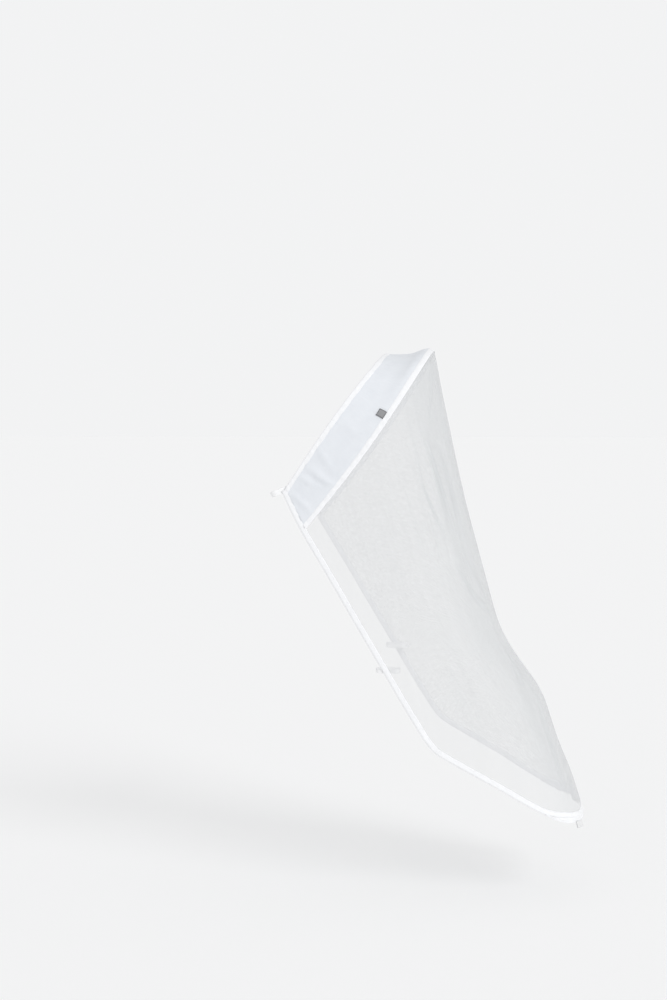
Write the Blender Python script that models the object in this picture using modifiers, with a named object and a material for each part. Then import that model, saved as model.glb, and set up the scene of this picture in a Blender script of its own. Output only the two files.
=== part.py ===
"""Mosquito net that hangs from an opaque band. The band slips over an arched bow, and the net falls from
the bow's crown to a hem at the front and along both sides. Elastic loops hold the hem.

Metres, +Z up, +X to the front, and the middle plane at y = 0. The right side is at -Y.
The origin lies under the crown of the band, where the bow carries it.
"""

from math import cos, pi, radians, sin

import bmesh
import bpy
import numpy as np

# Thickness of each cloth, and the gap between neighbours
NET_THICKNESS = 0.001
BAND_THICKNESS = 0.0012
TAPE_THICKNESS = 0.002
ELASTIC_THICKNESS = 0.0014
LABEL_THICKNESS = 0.001
GAP = 0.0003

# Arch of the bow, seen from the front as a square with rounded corners
BOW_HALF_WIDTH = 0.195
BOW_SQUARENESS = 3.4
CROWN_LIFT = TAPE_THICKNESS / 2
FRONT_CROWN_X = 0.0
REAR_CROWN_X = -0.089
REAR_CROWN_DROP = 0.005
REAR_BULGE = 0.004
FRONT_BULGE = -0.009
BAND_SAG = 0.004
TAPE_WIDTH = 0.010

# The band rises over the bow's tube, beyond this share of the way to its front edge
CROWN_RISE = 0.0075
RISE_FROM = 0.6

# Hem of the right side, from the rear corner down and forward to the middle of the front
# Columns: x, y, z
HEM = (
    (-0.2594, -0.196, -0.2442),
    (-0.2275, -0.198, -0.3093),
    (-0.1778, -0.202, -0.3935),
    (-0.1316, -0.206, -0.4723),
    (-0.0820, -0.210, -0.5563),
    (-0.0449, -0.212, -0.6193),
    (-0.0202, -0.213, -0.6596),
    (-0.0043, -0.212, -0.6844),
    (0.0132, -0.211, -0.7038),
    (0.0484, -0.208, -0.7252),
    (0.0835, -0.205, -0.7448),
    (0.1311, -0.198, -0.7721),
    (0.1770, -0.188, -0.8000),
    (0.2072, -0.178, -0.8155),
    (0.2295, -0.166, -0.8240),
    (0.2500, -0.148, -0.8285),
    (0.2640, -0.118, -0.8310),
    (0.2710, -0.070, -0.8320),
    (0.2730, 0.000, -0.8330),
)
SEAM_FOOT_Z = -0.3165
FRONT_HEM_WIDTH = 0.019
FRONT_HEM_FROM_X = 0.20
FRONT_HEM_GROWS_OVER = 0.04

# Lines down the cloth join a share of the half hem to a share of the half arch
# Columns: hem share, arch share
GATHERS = ((0.0, 0.0), (0.25, 0.17), (0.47, 0.33), (0.80, 0.70), (1.0, 1.0))

# Front of the net against a straight line from the crown to the hem: it sinks in, and lower down it
# stands out again as a soft shoulder
# Columns: share of the drop, way forward
PROFILE = (
    (0.00, 0.000),
    (0.08, -0.010),
    (0.22, -0.0235),
    (0.35, -0.0346),
    (0.50, -0.0424),
    (0.59, -0.0471),
    (0.64, -0.0446),
    (0.69, -0.0300),
    (0.76, -0.0060),
    (0.80, -0.0062),
    (0.87, -0.0060),
    (0.95, 0.0012),
    (1.00, 0.000),
)
PROFILE_FADE = (0.35, 0.85)
SIDE_DISH = 0.004

# Tension folds on the net, each a soft line in a side view, from its upper to its lower end
# Columns: side, x and z of the upper end, x and z of the lower end, height, width
FOLDS = (
    ("right", -0.015, -0.155, 0.022, -0.330, 0.0035, 0.011),
    ("right", -0.022, -0.240, 0.045, -0.410, 0.0030, 0.013),
    ("right", 0.020, -0.300, 0.095, -0.490, 0.0040, 0.012),
    ("right", 0.140, -0.590, 0.215, -0.735, 0.0035, 0.012),
    ("left", -0.020, -0.135, 0.030, -0.350, 0.0035, 0.012),
    ("left", 0.000, -0.260, 0.070, -0.470, 0.0040, 0.014),
    ("left", 0.125, -0.580, 0.190, -0.720, 0.0035, 0.013),
)

# Steps of the lofts
NET_COLUMNS_A_SIDE = 27
NET_ROWS = 20
ARCH_STEPS = 44
BAND_ROWS = 7
BAND_HEM_STEPS = 5
LOOP_STEPS = 20
LABEL_STEPS = 5
TAB_STEPS = 4

# Elastic loops, placed by the front end of the tape's outer face
# Columns: name, x, y, z, length, depth, width of the tape, slope from level in degrees
LOOPS = (
    ("upper_loop", -0.2520, -0.1940, -0.2413, 0.0335, 0.030, 0.0100, 21.9),
    ("side_loop", -0.0545, -0.2078, -0.5620, 0.0420, 0.026, 0.0080, 0.0),
)

# Folded tab of elastic under the hem's front corner
TAB_THICKNESS = 0.0026
TAB_AT_X = 0.2615
TAB_LENGTH = 0.026
TAB_DROP = 0.010

# Label on the right leg of the band, its front edge against the seam's tape
LABEL_ACROSS = 0.015
LABEL_ALONG = 0.0146
LABEL_SEAM_Z = -0.120

SIDES = (("right", 1.0), ("left", -1.0))
COLLECTION = "stroller_mosquito_net"


def clear_scene():
    for thing in list(bpy.data.objects):
        bpy.data.objects.remove(thing, do_unlink=True)


def fabric(name, colour, roughness):
    material = bpy.data.materials.new(name)
    material.use_nodes = True
    shader = material.node_tree.nodes["Principled BSDF"]
    shader.inputs["Base Color"].default_value = (*colour, 1.0)
    shader.inputs["Roughness"].default_value = roughness
    shader.inputs["Metallic"].default_value = 0.0
    return material


def unit(vectors):
    return vectors / np.linalg.norm(vectors, axis=-1, keepdims=True)


def lengths_along(points):
    steps = np.linalg.norm(np.diff(points, axis=0), axis=1)
    return np.concatenate([[0.0], np.cumsum(steps)])


def along(points, shares):
    """Points at the given shares of a line's length."""
    run = lengths_along(points)
    at = np.asarray(shares) * run[-1]
    return np.stack([np.interp(at, run, points[:, axis]) for axis in range(3)], axis=1)


def smooth_line(stations, steps=12):
    """A Catmull-Rom curve through the stations."""
    points = np.array(stations, float)
    padded = np.vstack([2 * points[0] - points[1], points, 2 * points[-1] - points[-2]])
    share = np.linspace(0, 1, steps, endpoint=False)[:, None]
    parts = []
    for before, start, end, after in zip(padded, padded[1:], padded[2:], padded[3:]):
        cubic = (
            2 * start
            + (end - before) * share
            + (2 * before - 5 * start + 4 * end - after) * share**2
            + (3 * start - before - 3 * end + after) * share**3
        )
        parts.append(cubic / 2)
    return np.vstack([*parts, points[-1:]])


def mirrored(points):
    return points * np.array([1.0, -1.0, 1.0])


def whole_line(half):
    """The right half of a line and its mirror image, as one line from right to left."""
    return np.vstack([half, mirrored(half[-2::-1])])


def half_arch(crown, foot, bulge):
    """Right half of an arch, from its foot to the middle of its crown."""
    angle = np.linspace(0, pi / 2, 400)
    across = np.cos(angle) ** (2 / BOW_SQUARENESS)
    up = np.sin(angle) ** (2 / BOW_SQUARENESS)
    leg = crown - foot * np.array([1.0, 0.0, 1.0])
    outward = unit(np.array([-leg[2], 0.0, leg[0]]))
    points = foot * np.array([1.0, 0.0, 1.0]) + up[:, None] * leg
    points += np.sin(pi * up)[:, None] * bulge * outward
    points[:, 1] = foot[1] * across
    return points


def hem_frame(hem, inward):
    """Directions in the cloth, square to the hem, that point away from its edge."""
    tangent = unit(np.gradient(hem, axis=0))
    return unit(inward - (inward * tangent).sum(axis=1)[:, None] * tangent)


def hem_stations(hem, square, shares):
    """Middle of the hem's tape, the way into the cloth and the tape's half width at shares of a line."""
    middle = along(hem, shares)
    run = lengths_along(hem)
    at = np.asarray(shares) * run[-1]
    into = unit(np.stack([np.interp(at, run, square[:, axis]) for axis in range(3)], axis=1))
    wide = np.clip((middle[:, 0] - FRONT_HEM_FROM_X) / FRONT_HEM_GROWS_OVER, 0.0, 1.0)
    half = (TAPE_WIDTH + (FRONT_HEM_WIDTH - TAPE_WIDTH) * wide) / 2
    return middle, into, half[:, None]


def profile_offset(drop):
    table = np.array(PROFILE)
    return np.interp(drop, table[:, 0], table[:, 1])


def layout():
    """The lines that the cloth is laid out on, all of the right half, from the rear to the middle."""
    hem = along(smooth_line(HEM), np.linspace(0, 1, 300))
    seam_step = int(np.argmin(np.abs(hem[:150, 2] - SEAM_FOOT_Z)))
    front_crown = np.array([FRONT_CROWN_X, 0.0, CROWN_LIFT])
    rear_crown = np.array([REAR_CROWN_X, 0.0, CROWN_LIFT - REAR_CROWN_DROP])
    lead = TAPE_WIDTH / 2 + GAP

    # Straight legs rise from the inner edge of the hem's tape
    up_the_leg = unit(front_crown - hem[seam_step] * np.array([1.0, 0.0, 1.0]))
    inward = np.tile(up_the_leg, (len(hem), 1))
    square = hem_frame(hem, inward)
    lean = float((square[seam_step] * up_the_leg).sum())
    front_foot = hem[seam_step] + up_the_leg * lead / lean
    front = half_arch(front_crown, front_foot, FRONT_BULGE)
    rear_foot = hem[0] + up_the_leg * lead / lean
    rear = half_arch(rear_crown, rear_foot, REAR_BULGE)

    # Beyond the seam the cloth leaves the hem towards the arch
    shares = lengths_along(hem[seam_step:])
    shares /= shares[-1]
    gathers = np.array(GATHERS)
    arch_side = along(front, np.interp(shares, gathers[:, 0], gathers[:, 1]))
    inward[seam_step:] = unit(arch_side - hem[seam_step:])
    blend = np.clip(np.arange(len(hem) - seam_step) / 20, 0, 1)[:, None]
    inward[seam_step:] = unit(blend * inward[seam_step:] + (1 - blend) * up_the_leg)
    square = hem_frame(hem, inward)
    return {"hem": hem, "seam_step": seam_step, "square": square, "front": front, "rear": rear}


def add_object(name, mesh, material):
    piece = bpy.data.objects.new(name, mesh)
    piece.data.materials.append(material)
    bpy.data.collections[COLLECTION].objects.link(piece)
    return piece


def loft(name, rows, material, thickness, closed=False):
    """A sheet through rows of points, as a thin solid. A closed loft joins its last column to its first."""
    mesh = bpy.data.meshes.new(name)
    build = bmesh.new()
    grid = [[build.verts.new(point) for point in row] for row in rows]
    for upper, lower in zip(grid, grid[1:]):
        count = len(upper)
        for step in range(count if closed else count - 1):
            after = (step + 1) % count
            build.faces.new((upper[step], lower[step], lower[after], upper[after]))
    bmesh.ops.recalc_face_normals(build, faces=build.faces)
    for face in build.faces:
        face.smooth = True
    build.to_mesh(mesh)
    build.free()
    piece = add_object(name, mesh, material)
    shell = piece.modifiers.new("thickness", "SOLIDIFY")
    shell.thickness = thickness
    shell.offset = 0.0
    shell.use_even_offset = True
    return piece


def fold_shift(points, side):
    """How far the cloth stands out over its folds, each a ridge that fades at both ends."""
    shift = np.zeros(len(points))
    for fold_side, x0, z0, x1, z1, height, width in FOLDS:
        if fold_side != side:
            continue
        run = np.array([x1 - x0, z1 - z0])
        offset = points[:, [0, 2]] - np.array([x0, z0])
        share = offset @ run / (run @ run)
        aside = np.abs(offset[:, 0] * run[1] - offset[:, 1] * run[0]) / np.linalg.norm(run)
        fade = np.sin(pi * np.clip(share, 0, 1))
        shift += height * fade * np.exp(-((aside / width) ** 2))
    return shift


def net_half(lines, side):
    """Rows of points of one half of the net, from the seam down to the hem."""
    shares = np.linspace(0, 1, NET_COLUMNS_A_SIDE)
    start = lines["seam_step"]
    middle, into, half = hem_stations(lines["hem"][start:], lines["square"][start:], shares)
    hem_edge = middle + into * (half + GAP)
    gathers = np.array(GATHERS)
    arch_edge = along(lines["front"], np.interp(shares, gathers[:, 0], gathers[:, 1]))

    # The first column is short, so that the corner doesn't run out to a point
    hem_edge[0] = hem_edge[0] * 0.88 + hem_edge[1] * 0.12
    arch_edge[0] = arch_edge[0] * 0.85 + arch_edge[1] * 0.15
    down = unit(hem_edge - arch_edge)
    turn = np.interp(shares, (0.0, 0.55, 1.0), (0.0, 0.3, 1.0))
    arch_edge = arch_edge + down * (GAP + (TAPE_THICKNESS + NET_THICKNESS) / 2 * turn)[:, None]

    fade = np.clip((shares - PROFILE_FADE[0]) / (PROFILE_FADE[1] - PROFILE_FADE[0]), 0, 1)
    fade = fade * fade * (3 - 2 * fade)
    rows = []
    for drop in np.linspace(0, 1, NET_ROWS):
        row = arch_edge + (hem_edge - arch_edge) * drop
        row[:, 0] += fade * profile_offset(drop)
        row[:, 1] += SIDE_DISH * sin(pi * drop) * (1 - fade) * np.sin(pi * np.clip(shares / 0.8, 0, 1))
        beside = np.clip(-row[:, 1] / 0.15, 0, 1)
        row[:, 1] -= fold_shift(row, side) * beside
        rows.append(row)
    return np.array(rows)


def net_panel(lines, material):
    right = net_half(lines, "right")
    left = mirrored(net_half(lines, "left"))
    rows = [np.vstack([r, l[-2::-1]]) for r, l in zip(right, left)]
    return loft("net_panel", rows, material, NET_THICKNESS)


def band_rows(rear, front, low, high, count):
    """Rows of points across the band. low and high are each an edge, 0 rear or 1 front, and a distance."""
    width = np.linalg.norm(front - rear, axis=1)
    crown = np.sqrt(np.clip(1 - np.abs(rear[:, 1]) / BOW_HALF_WIDTH, 0, 1))
    rows = []
    for step in range(count):
        share = step / (count - 1)
        reach = (1 - share) * (low[0] + low[1] / width) + share * (high[0] + high[1] / width)
        row = rear + (front - rear) * reach[:, None]
        row[:, 2] -= BAND_SAG * crown * np.sin(pi * np.clip(reach, 0, 1))
        row[:, 2] += CROWN_RISE * crown * np.sin(pi * np.clip((reach - RISE_FROM) / (1 - RISE_FROM), 0, 1))
        rows.append(row)
    return np.array(rows)


def bow_band(lines, cloth, tape):
    """The opaque band, with a tape on its rear edge and one on the seam at its front edge."""
    shares = np.linspace(0, 1, ARCH_STEPS)
    rear = whole_line(along(lines["rear"], shares))
    front = whole_line(along(lines["front"], shares))
    inset = TAPE_WIDTH + GAP
    loft("rear_binding", band_rows(rear, front, (0, 0), (0, TAPE_WIDTH), 2), tape, TAPE_THICKNESS)
    loft("top_band", band_rows(rear, front, (0, inset), (1, -inset), BAND_ROWS), cloth, BAND_THICKNESS)
    loft("seam_binding", band_rows(rear, front, (1, -TAPE_WIDTH), (1, 0), 2), tape, TAPE_THICKNESS)


def label(lines, material):
    """A small woven square that lies on the band's outer face."""
    front = lines["front"]
    run = lengths_along(front)
    middle = run[int(np.argmin(np.abs(front[:, 2] - LABEL_SEAM_Z)))]
    shares = (middle + LABEL_ALONG * np.linspace(-0.5, 0.5, LABEL_STEPS)) / run[-1]
    inset = TAPE_WIDTH + GAP
    sides = along(lines["rear"], shares), along(front, shares)
    rows = band_rows(*sides, (1, -inset - LABEL_ACROSS), (1, -inset), LABEL_STEPS)
    outward = unit(np.cross(np.gradient(rows, axis=0), np.gradient(rows, axis=1)))
    outward *= -np.sign(outward[..., 1:2])
    rows += outward * ((BAND_THICKNESS + LABEL_THICKNESS) / 2 + GAP)
    return loft("label", rows, material, LABEL_THICKNESS)


def hem_binding(lines, material):
    """The tape along the edge, first beside the band and then beside the net, in the net's own columns."""
    hem, square, start = lines["hem"], lines["square"], lines["seam_step"]
    beside_band = hem_stations(hem[: start + 1], square[: start + 1], np.linspace(0, 1, BAND_HEM_STEPS)[:-1])
    beside_net = hem_stations(hem[start:], square[start:], np.linspace(0, 1, NET_COLUMNS_A_SIDE))
    middle, into, half = (np.vstack(pair) for pair in zip(beside_band, beside_net))
    rows = [whole_line(middle + into * half * place) for place in (1, 0, -1)]
    return loft("hem_binding", rows, material, TAPE_THICKNESS)


def elastic_loop(name, at, length, depth, width, slope, side, material):
    """A flat tape bent to a closed loop, whose opening runs up and down."""
    back = np.array([-cos(slope), 0.0, -sin(slope)])
    up = np.array([-sin(slope), 0.0, cos(slope)])
    inward = np.array([0.0, 1.0, 0.0])
    rows = []
    for height in (-width / 2, 0.0, width / 2):
        row = []
        for step in range(LOOP_STEPS):
            angle = 2 * pi * step / LOOP_STEPS
            reach = abs(cos(angle)) ** 0.7 * np.sign(cos(angle))
            aside = abs(sin(angle)) ** 0.7 * np.sign(sin(angle))
            point = back * (1 - reach) * length / 2 + inward * (1 + aside) * depth / 2
            row.append(np.array(at) + point + up * height)
        rows.append(np.array(row))
    if side < 0:
        rows = [mirrored(row) for row in rows]
    return loft(name, rows, material, ELASTIC_THICKNESS, closed=True)


def front_tab(name, lines, side, material):
    """A folded tab that hangs from the outer edge of the hem's tape and goes on in its plane."""
    hem = lines["hem"]
    run = lengths_along(hem)
    middle = run[int(np.argmin(np.abs(hem[:, 0] - TAB_AT_X)))]
    shares = (middle + TAB_LENGTH * np.linspace(-0.5, 0.5, TAB_STEPS)) / run[-1]
    places, into, half = hem_stations(hem, lines["square"], shares)
    rows = [places - into * (half + GAP + TAB_DROP * share) for share in (0, 0.5, 1)]
    if side < 0:
        rows = [mirrored(row) for row in rows]
    return loft(name, rows, material, TAB_THICKNESS)


def build_net():
    clear_scene()
    collection = bpy.data.collections.new(COLLECTION)
    bpy.context.scene.collection.children.link(collection)
    net_cloth = fabric("net_cloth", (0.78, 0.80, 0.82), 0.9)
    band_cloth = fabric("band_cloth", (0.79, 0.83, 0.86), 0.8)
    tape = fabric("white_tape", (0.92, 0.93, 0.94), 0.7)
    elastic = fabric("elastic_tape", (0.88, 0.88, 0.89), 0.75)
    label_cloth = fabric("label_cloth", (0.22, 0.22, 0.23), 0.8)

    lines = layout()
    net_panel(lines, net_cloth)
    bow_band(lines, band_cloth, tape)
    hem_binding(lines, tape)
    label(lines, label_cloth)
    for side_name, side in SIDES:
        for name, x, y, z, length, depth, width, slope in LOOPS:
            full_name = f"{name}_{side_name}"
            elastic_loop(full_name, (x, y, z), length, depth, width, radians(slope), side, elastic)
        front_tab(f"front_tab_{side_name}", lines, side, elastic)


build_net()
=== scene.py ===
"""Looks of the stroller mosquito net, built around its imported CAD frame.

Metres, +Z up, +X to the front, and the middle plane at y = 0. The right side is at -Y.
The lines that the cloth is laid out on are the part's own, with finer steps.
"""

from math import cos, pi, radians, sin

import bpy
import numpy as np
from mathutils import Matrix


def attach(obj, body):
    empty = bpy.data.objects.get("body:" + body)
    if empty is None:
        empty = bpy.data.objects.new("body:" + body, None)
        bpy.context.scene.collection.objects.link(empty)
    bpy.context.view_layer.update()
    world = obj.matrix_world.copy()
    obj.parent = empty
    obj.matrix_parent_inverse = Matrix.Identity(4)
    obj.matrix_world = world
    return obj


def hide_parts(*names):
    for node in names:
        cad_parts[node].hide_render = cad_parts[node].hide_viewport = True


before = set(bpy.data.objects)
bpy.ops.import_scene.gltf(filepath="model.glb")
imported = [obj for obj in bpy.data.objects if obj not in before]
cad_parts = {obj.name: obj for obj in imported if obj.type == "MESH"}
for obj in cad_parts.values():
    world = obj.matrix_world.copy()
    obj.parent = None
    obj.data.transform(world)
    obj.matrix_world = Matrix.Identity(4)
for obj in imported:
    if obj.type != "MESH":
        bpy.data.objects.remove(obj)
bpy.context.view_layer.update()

# Thickness of each cloth
BAND_THICKNESS = 0.0012
TAPE_THICKNESS = 0.0020
HEM_THICKNESS = 0.0023
FOLD_THICKNESS = 0.0014
ELASTIC_THICKNESS = 0.0014
TAB_LAYER = 0.0011
LABEL_THICKNESS = 0.0010

# Room between two pieces, and how far a cloth runs on under its tape
GAP = 0.0003
TUCK = 0.003

# Arch of the band, seen from the front as a square with rounded corners
ARCH_HALF_WIDTH = 0.195
ARCH_SQUARENESS = 3.4
CROWN_LIFT = 0.001
FRONT_CROWN_X = 0.0
REAR_CROWN_X = -0.089
REAR_CROWN_DROP = 0.005
REAR_BULGE = 0.004
FRONT_BULGE = -0.009
BAND_SAG = 0.004
TAPE_WIDTH = 0.010

# The band's crown rises beyond this share of the way to its front edge
CROWN_RISE = 0.0075
RISE_FROM = 0.45

# Hem of the right side, from the rear corner down and forward to the middle of the front
# Columns: x, y, z
HEM = (
    (-0.2594, -0.196, -0.2442),
    (-0.2275, -0.198, -0.3093),
    (-0.1778, -0.202, -0.3935),
    (-0.1316, -0.206, -0.4723),
    (-0.0820, -0.210, -0.5563),
    (-0.0449, -0.212, -0.6193),
    (-0.0202, -0.213, -0.6596),
    (-0.0043, -0.212, -0.6844),
    (0.0132, -0.211, -0.7038),
    (0.0484, -0.208, -0.7252),
    (0.0835, -0.205, -0.7448),
    (0.1311, -0.198, -0.7721),
    (0.1770, -0.188, -0.8000),
    (0.2072, -0.178, -0.8155),
    (0.2295, -0.166, -0.8240),
    (0.2500, -0.148, -0.8285),
    (0.2640, -0.118, -0.8310),
    (0.2710, -0.070, -0.8320),
    (0.2730, 0.000, -0.8330),
)
SEAM_FOOT_Z = -0.3165
FRONT_HEM_WIDTH = 0.019
FRONT_HEM_FROM_X = 0.20
FRONT_HEM_GROWS_OVER = 0.04

# Lines down the cloth join a share of the half hem to a share of the half arch
# Columns: hem share, arch share
GATHERS = ((0.0, 0.0), (0.25, 0.17), (0.47, 0.33), (0.80, 0.70), (1.0, 1.0))

# Front of the net against a straight line from the crown to the hem
# Columns: share of the drop, way forward
PROFILE = (
    (0.00, 0.000),
    (0.08, -0.010),
    (0.22, -0.0235),
    (0.35, -0.0346),
    (0.50, -0.0424),
    (0.59, -0.0471),
    (0.64, -0.0446),
    (0.69, -0.0300),
    (0.76, -0.0060),
    (0.80, -0.0062),
    (0.87, -0.0060),
    (0.95, 0.0012),
    (1.00, 0.000),
)

# The profile comes in between these shares of the half hem, and its corners are rounded
PROFILE_FADE = (0.35, 0.85)
PROFILE_ROUNDING = 0.03

# The sides of the net are dished inward, up to a share of the way to its middle line
SIDE_DISH = 0.004
SIDE_DISH_ENDS = 0.8

# Folds are at their full height where the cloth is this far from the middle plane
FOLDS_FULL_AT_Y = 0.15

# Tension folds of the net, each a soft line in a side view, from its upper to its lower end
# Columns: side, x and z of the upper end, x and z of the lower end, height, width
NET_FOLDS = (
    ("right", -0.015, -0.155, 0.022, -0.330, 0.0035, 0.011),
    ("right", -0.022, -0.240, 0.045, -0.410, 0.0030, 0.013),
    ("right", 0.020, -0.300, 0.095, -0.490, 0.0040, 0.012),
    ("right", 0.140, -0.590, 0.215, -0.735, 0.0035, 0.012),
    ("left", -0.020, -0.135, 0.030, -0.350, 0.0035, 0.012),
    ("left", 0.000, -0.260, 0.070, -0.470, 0.0040, 0.014),
    ("left", 0.125, -0.580, 0.190, -0.720, 0.0035, 0.013),
)

# Narrow pleats of the net, with the same columns
FINE_FOLDS = (
    ("right", -0.022, -0.135, 0.031, -0.306, 0.0018, 0.0024),
    ("right", -0.009, -0.155, 0.048, -0.336, 0.0018, 0.0024),
    ("right", -0.032, -0.212, 0.028, -0.340, 0.0018, 0.0026),
    ("right", -0.041, -0.130, -0.017, -0.246, 0.0009, 0.0026),
    ("right", 0.000, -0.012, 0.014, -0.096, 0.0013, 0.0024),
    ("right", -0.001, -0.016, -0.005, -0.132, 0.0013, 0.0026),
    ("right", 0.034, -0.370, 0.119, -0.494, 0.0018, 0.0026),
    ("right", 0.006, -0.070, 0.046, -0.242, 0.0014, 0.0030),
    ("right", 0.036, -0.204, 0.089, -0.384, 0.0014, 0.0030),
    ("right", 0.074, -0.338, 0.122, -0.474, 0.0014, 0.0030),
    ("right", 0.020, -0.190, 0.066, -0.374, 0.0013, 0.0024),
    ("right", -0.016, -0.248, 0.019, -0.384, 0.0009, 0.0028),
    ("right", -0.062, -0.188, -0.006, -0.392, 0.0008, 0.0030),
    ("right", 0.060, -0.350, 0.129, -0.530, 0.0010, 0.0028),
    ("right", 0.130, -0.522, 0.163, -0.600, 0.0024, 0.0030),
    ("right", 0.144, -0.528, 0.182, -0.612, 0.0022, 0.0028),
    ("right", 0.158, -0.548, 0.205, -0.636, 0.0024, 0.0030),
    ("right", 0.118, -0.518, 0.240, -0.628, 0.0016, 0.0030),
    ("right", 0.194, -0.594, 0.260, -0.812, 0.0016, 0.0030),
    ("right", 0.182, -0.604, 0.246, -0.806, 0.0015, 0.0030),
    ("right", 0.020, -0.540, 0.110, -0.735, 0.0008, 0.0060),
    ("left", -0.024, -0.126, 0.022, -0.312, 0.0018, 0.0024),
    ("left", 0.002, -0.168, 0.052, -0.352, 0.0017, 0.0026),
    ("left", -0.036, -0.226, 0.014, -0.362, 0.0015, 0.0026),
    ("left", 0.001, -0.014, 0.010, -0.108, 0.0013, 0.0024),
    ("left", 0.040, -0.356, 0.112, -0.500, 0.0017, 0.0026),
    ("left", 0.008, -0.076, 0.048, -0.250, 0.0014, 0.0030),
    ("left", 0.040, -0.216, 0.092, -0.396, 0.0014, 0.0030),
    ("left", -0.058, -0.176, -0.010, -0.368, 0.0008, 0.0030),
    ("left", 0.132, -0.528, 0.170, -0.612, 0.0023, 0.0030),
    ("left", 0.152, -0.540, 0.196, -0.630, 0.0022, 0.0028),
    ("left", 0.190, -0.600, 0.256, -0.806, 0.0016, 0.0030),
    ("left", 0.014, -0.530, 0.102, -0.728, 0.0008, 0.0060),
)

# Creases of the band's sides, with the same columns
BAND_CREASES = (
    ("right", -0.263, -0.202, -0.195, -0.242, 0.0024, 0.0055),
    ("right", -0.240, -0.188, -0.164, -0.243, 0.0024, 0.0060),
    ("right", -0.206, -0.220, -0.162, -0.237, 0.0014, 0.0045),
    ("right", -0.254, -0.243, -0.204, -0.288, 0.0020, 0.0055),
    ("right", -0.216, -0.148, -0.169, -0.217, 0.0018, 0.0065),
    ("right", -0.168, -0.120, -0.120, -0.150, 0.0010, 0.0080),
    ("right", -0.126, -0.058, -0.070, -0.084, 0.0010, 0.0080),
    ("left", -0.258, -0.206, -0.190, -0.250, 0.0024, 0.0060),
    ("left", -0.232, -0.172, -0.170, -0.226, 0.0020, 0.0065),
    ("left", -0.246, -0.246, -0.200, -0.284, 0.0018, 0.0060),
    ("left", -0.154, -0.098, -0.094, -0.136, 0.0012, 0.0080),
)

# Soft swelling of the band beside the seam: its height, the height down to which it runs, and the
# share of the way to the seam where it starts, which grows on the way down
BESIDE_SEAM = 0.0011
BESIDE_SEAM_RUNS_TO = -0.080
BESIDE_SEAM_STARTS = 0.62
BESIDE_SEAM_START_GROWS = 0.14

# Slight waves of the band over its crown, which end this far from the middle plane
# Columns: radians a metre across, radians a metre forward, first angle
CROWN_WAVES = ((71, 40, 0.0), (118, 0, 1.1))
CROWN_WAVE_HEIGHT = 0.0006
CROWN_WAVES_END_AT_Y = 0.19

# Upright ripples of the net's front, and how far those of the left side are shifted in radians
# Columns: height, radians a metre across, radians over the drop, times the shift
RIPPLES = ((0.0016, 62, 3, 1), (0.0009, 131, -5, 2))
LEFT_SHIFT = 1.3

# Unevenness that sewing leaves in the tapes. Columns: height, radians a metre, first angle
PUCKERS = ((0.00018, 410, 0.0), (0.00022, 173, 1.0), (0.00012, 905, 2.0))

# Folded edge below the hem's tape: least width, lap under the tape, set back, waves and ridges
FOLD_LEAST = 0.0008
FOLD_LAP = 0.002
FOLD_SET_BACK = 0.0008
FOLD_SHORT_WAVE = 0.0009
FOLD_LONG_WAVE = 0.0007
FOLD_RIDGE = 0.0006

# Elastic loops. The point is at a loop's front end and on its outer side
# Columns: name, x, y, z, length, depth, width of the tape, slope from level in degrees
LOOPS = (
    ("upper_loop", -0.2520, -0.1940, -0.2413, 0.0335, 0.030, 0.0100, 21.9),
    ("side_loop", -0.0545, -0.2078, -0.5620, 0.0420, 0.026, 0.0080, 0.0),
)

# A loop is bent to a rounded oblong: at 1 it would be an ellipse, and below 1 it is squarer
LOOP_ROUNDNESS = 0.7
ELASTIC_RIBS = 7
ELASTIC_RIB_HEIGHT = 0.00010

# Front tabs: place on the hem, length along it, drop below it, lap over its edge, half the way
# between their two layers, and how uneven their lower edge is
TAB_AT_X = 0.2615
TAB_LENGTH = 0.026
TAB_DROP = 0.010
TAB_LAP = 0.002
TAB_HALF_GAP = TAB_LAYER * 0.62
TAB_FRAY = 0.0004

# Label: its size, the height of the seam beside it, and its lap over the seam's tape
LABEL_ACROSS = 0.015
LABEL_ALONG = 0.0146
LABEL_SEAM_Z = -0.120
LABEL_LAP = 0.001

# Stitching: length of a stitch, its pitch and the thread's radius
STITCH_LENGTH = 0.0024
STITCH_PITCH = 0.0034
THREAD_RADIUS = 0.00019

# A stitch's spindle. Columns: share of its length, share of the thread's radius
STITCH_SHAPE = ((0.0, 0.15), (0.18, 0.85), (0.5, 1.0), (0.82, 0.85), (1.0, 0.15))

# Stitches run between two rows of a tape, at a share of the way, and lie at a share of its thickness
TAPE_STITCHES = (6, 7, 0.6)
HEM_STITCHES = (1, 2, 0.3)
STITCH_SEAT = 0.47

# Knitted mesh: its pitch, the cover of thread and hole, and how far apart its rows lie in pitches
MESH_PITCH = 0.0013
THREAD_COVER = 0.53
HOLE_COVER = 0.21
ROW_SPACING = 0.866

# The net covers more where it is folded, up to a most, and where it faces the front, and the same
# amounts paint it darker there as painted shade
COVER_PER_FOLD = 4.0
COVER_PER_FINE_FOLD = 90.0
MOST_FOLD_COVER = 0.17
FRONT_COVER = 0.11

# Steps of the grids: along a piece, and rows across it
ARCH_STEPS = 400
HEM_STEPS = 300
NET_COLUMNS = 230
NET_DROPS = 175
BAND_STEPS = 150
BAND_ROWS = 26
TAPE_STEPS = 260
TAPE_ROWS = 9
HEM_STEPS_BESIDE_BAND = 24
HEM_STEPS_BESIDE_NET = 330
FOLD_ROWS = 19
LOOP_STEPS = 120
LOOP_ROWS = 17
TAB_STEPS = 40
TAB_ROWS = 30
LABEL_STEPS = 33
THREAD_SIDES = 6

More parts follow.
